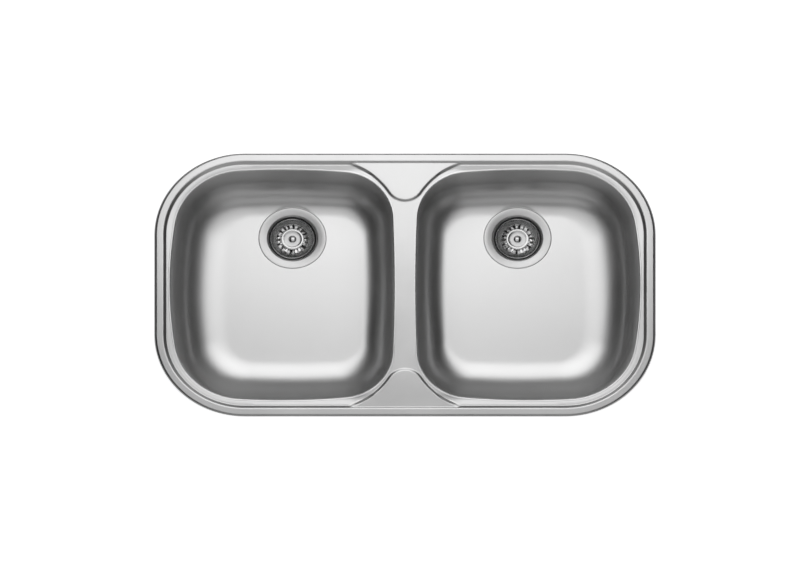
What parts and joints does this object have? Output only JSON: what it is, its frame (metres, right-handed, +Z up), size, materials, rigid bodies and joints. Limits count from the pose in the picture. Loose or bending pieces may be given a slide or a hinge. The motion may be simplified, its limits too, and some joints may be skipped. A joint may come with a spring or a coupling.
{
  "type": "double-bowl kitchen sink",
  "caption": "Inset double-bowl kitchen sink in pressed satin stainless sheet, with basket strainer wastes that lift out and swinging worktop clips.",
  "frame": {"origin": "middle of the worktop cut-out, on the worktop's top face", "axes": "+X to the user's right along the sink, +Y to the back, away from the user, +Z up"},
  "size_m": [0.86, 0.5, 0.2845],
  "materials": {
    "stainless": "satin",
    "polished_stainless": "polished",
    "zinc_steel": "zinc plated",
    "rubber": "matte",
    "foam": "matte",
    "plastic": "moulded",
    "brass": "turned"
  },
  "bodies": {
    "sink": {"back_left_rail": "zinc_steel", "back_right_rail": "zinc_steel", "clip_bolts": "zinc_steel", "clip_nuts": "zinc_steel", "deck": "stainless", "front_left_rail": "zinc_steel", "front_right_rail": "zinc_steel", "left_body_gasket": "rubber", "left_bowl": "stainless", "left_centre_screw": "polished_stainless", "left_flange_gasket": "rubber", "left_insert_nut": "brass", "left_sound_pad": "rubber", "left_strainer_cup": "polished_stainless", "left_waste_body": "plastic", "right_body_gasket": "rubber", "right_bowl": "stainless", "right_centre_screw": "polished_stainless", "right_flange_gasket": "rubber", "right_insert_nut": "brass", "right_sound_pad": "rubber", "right_strainer_cup": "polished_stainless", "right_waste_body": "plastic", "rim_seal": "foam"},
    "left_plug": {"left_basket": "polished_stainless", "left_basket_seal": "rubber", "left_knob": "polished_stainless", "left_stem": "polished_stainless", "left_stem_nut": "polished_stainless"},
    "right_plug": {"right_basket": "polished_stainless", "right_basket_seal": "rubber", "right_knob": "polished_stainless", "right_stem": "polished_stainless", "right_stem_nut": "polished_stainless"},
    "back_left_claw_1_body": {"back_left_claw_1": "zinc_steel"},
    "back_left_claw_2_body": {"back_left_claw_2": "zinc_steel"},
    "back_right_claw_1_body": {"back_right_claw_1": "zinc_steel"},
    "back_right_claw_2_body": {"back_right_claw_2": "zinc_steel"},
    "front_left_claw_1_body": {"front_left_claw_1": "zinc_steel"},
    "front_left_claw_2_body": {"front_left_claw_2": "zinc_steel"},
    "front_right_claw_1_body": {"front_right_claw_1": "zinc_steel"},
    "front_right_claw_2_body": {"front_right_claw_2": "zinc_steel"}
  },
  "joints": [
    {"name": "left_plug_lift", "type": "slide", "parent": "sink", "child": "left_plug", "axis": [0, 0, 1], "range_m": [0, 0.22]},
    {"name": "right_plug_lift", "type": "slide", "parent": "sink", "child": "right_plug", "axis": [0, 0, 1], "range_m": [0, 0.22]},
    {"name": "back_left_claw_1_swing", "type": "hinge", "parent": "sink", "child": "back_left_claw_1_body", "pos_m": [-0.28085, 0.2326, -0.045], "axis": [0, 0, 1], "range_deg": [0, 90]},
    {"name": "back_left_claw_2_swing", "type": "hinge", "parent": "sink", "child": "back_left_claw_2_body", "pos_m": [-0.14085, 0.2326, -0.045], "axis": [0, 0, 1], "range_deg": [0, 90]},
    {"name": "back_right_claw_1_swing", "type": "hinge", "parent": "sink", "child": "back_right_claw_1_body", "pos_m": [0.14085, 0.2326, -0.045], "axis": [0, 0, 1], "range_deg": [0, 90]},
    {"name": "back_right_claw_2_swing", "type": "hinge", "parent": "sink", "child": "back_right_claw_2_body", "pos_m": [0.28085, 0.2326, -0.045], "axis": [0, 0, 1], "range_deg": [0, 90]},
    {"name": "front_left_claw_1_swing", "type": "hinge", "parent": "sink", "child": "front_left_claw_1_body", "pos_m": [-0.28085, -0.2326, -0.045], "axis": [0, 0, 1], "range_deg": [0, 90]},
    {"name": "front_left_claw_2_swing", "type": "hinge", "parent": "sink", "child": "front_left_claw_2_body", "pos_m": [-0.14085, -0.2326, -0.045], "axis": [0, 0, 1], "range_deg": [0, 90]},
    {"name": "front_right_claw_1_swing", "type": "hinge", "parent": "sink", "child": "front_right_claw_1_body", "pos_m": [0.14085, -0.2326, -0.045], "axis": [0, 0, 1], "range_deg": [0, 90]},
    {"name": "front_right_claw_2_swing", "type": "hinge", "parent": "sink", "child": "front_right_claw_2_body", "pos_m": [0.28085, -0.2326, -0.045], "axis": [0, 0, 1], "range_deg": [0, 90]}
  ]
}
